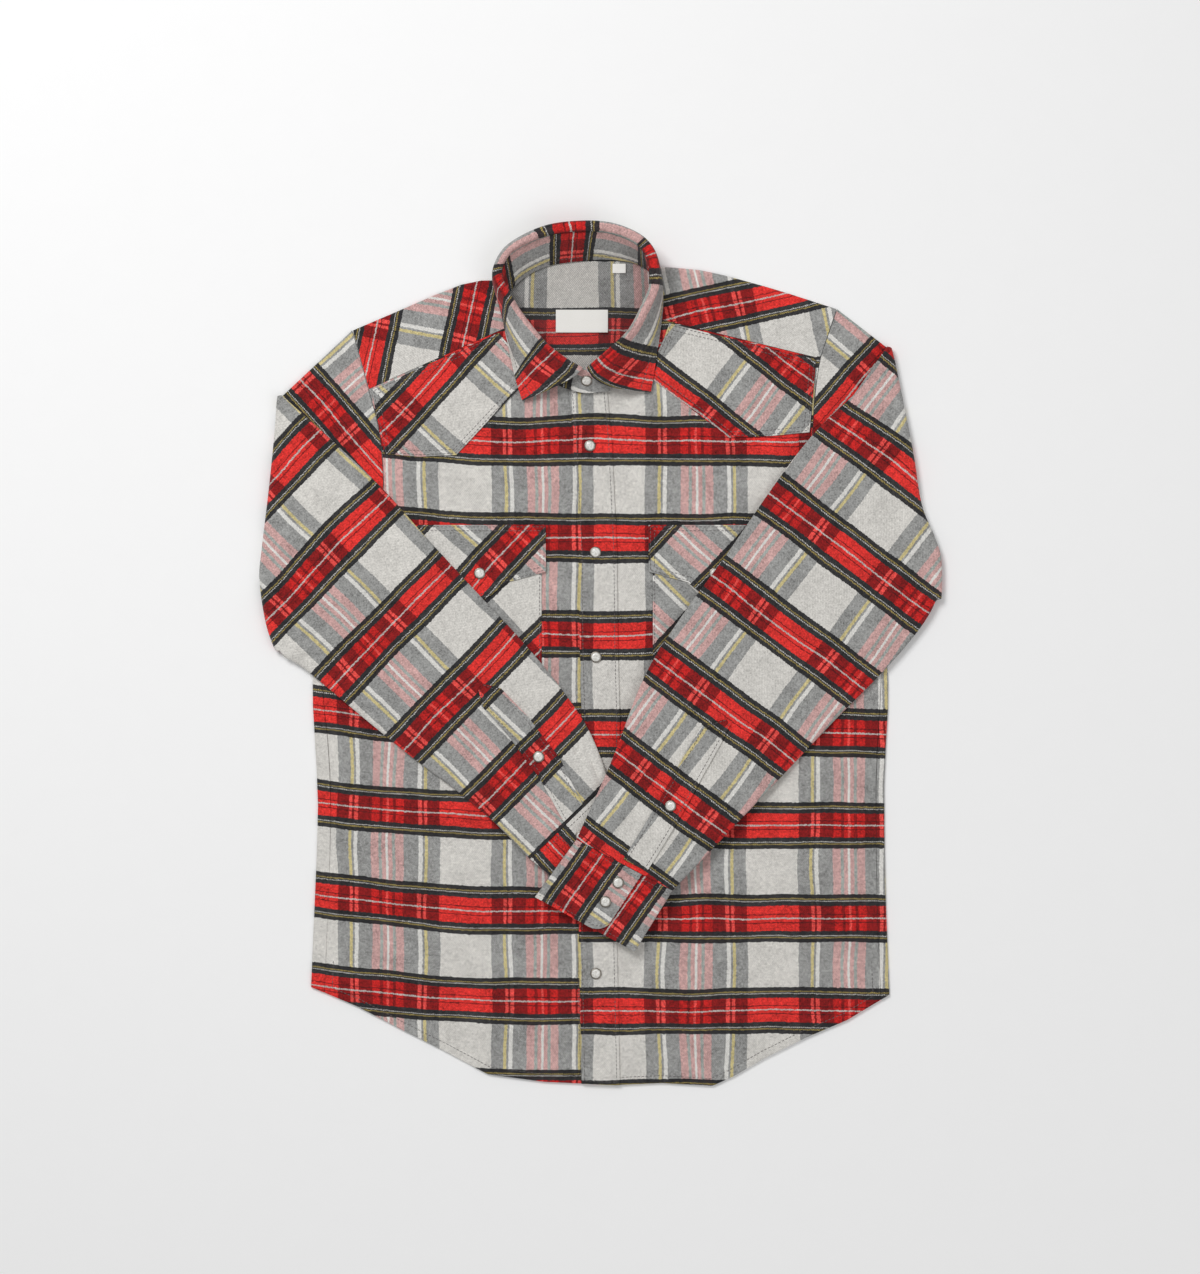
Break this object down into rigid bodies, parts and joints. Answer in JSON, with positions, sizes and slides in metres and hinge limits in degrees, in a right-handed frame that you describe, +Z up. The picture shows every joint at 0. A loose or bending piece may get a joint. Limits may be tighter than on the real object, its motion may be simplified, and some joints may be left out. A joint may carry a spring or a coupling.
{
  "type": "western snap shirt",
  "caption": "Long-sleeved western shirt in checked flannel, laid flat with its sleeves crossed, with pointed yokes, flap pockets and pearl snaps.",
  "frame": {"origin": "middle of the laid shirt's outline, on the surface that it lies on", "axes": "+Y from the hem towards the collar, +Z up out of the shirt's front"},
  "size_m": [0.6407, 0.8096, 0.0342],
  "materials": {
    "flannel": "brushed checked flannel in red, grey, cream, black, yellow and pink",
    "label": "plain woven tape",
    "snap": "pearl cap in a thin bright rim"
  },
  "bodies": {
    "root": {"back": "flannel", "back_yoke": "flannel", "front_left": "flannel", "front_right": "flannel", "front_placket": "flannel", "front_yoke_left": "flannel", "front_yoke_right": "flannel", "pocket_left": "flannel", "pocket_flap_left": "flannel", "snap_pocket_left": "snap", "pocket_right": "flannel", "pocket_flap_right": "flannel", "snap_pocket_right": "snap", "sleeve_left": "flannel", "sleeve_placket_left": "flannel", "cuff_left": "flannel", "snap_sleeve_left": "snap", "snap_cuff_left_1": "snap", "snap_cuff_left_2": "snap", "sleeve_right": "flannel", "sleeve_placket_right": "flannel", "cuff_right": "flannel", "snap_sleeve_right": "snap", "snap_cuff_right_1": "snap", "snap_cuff_right_2": "snap", "collar_stand": "flannel", "collar_leaf": "flannel", "snap_collar": "snap", "snap_front_1": "snap", "snap_front_2": "snap", "snap_front_3": "snap", "snap_front_4": "snap", "snap_front_5": "snap", "snap_front_6": "snap", "neck_label": "label", "size_label": "label"}
  },
  "joints": []
}
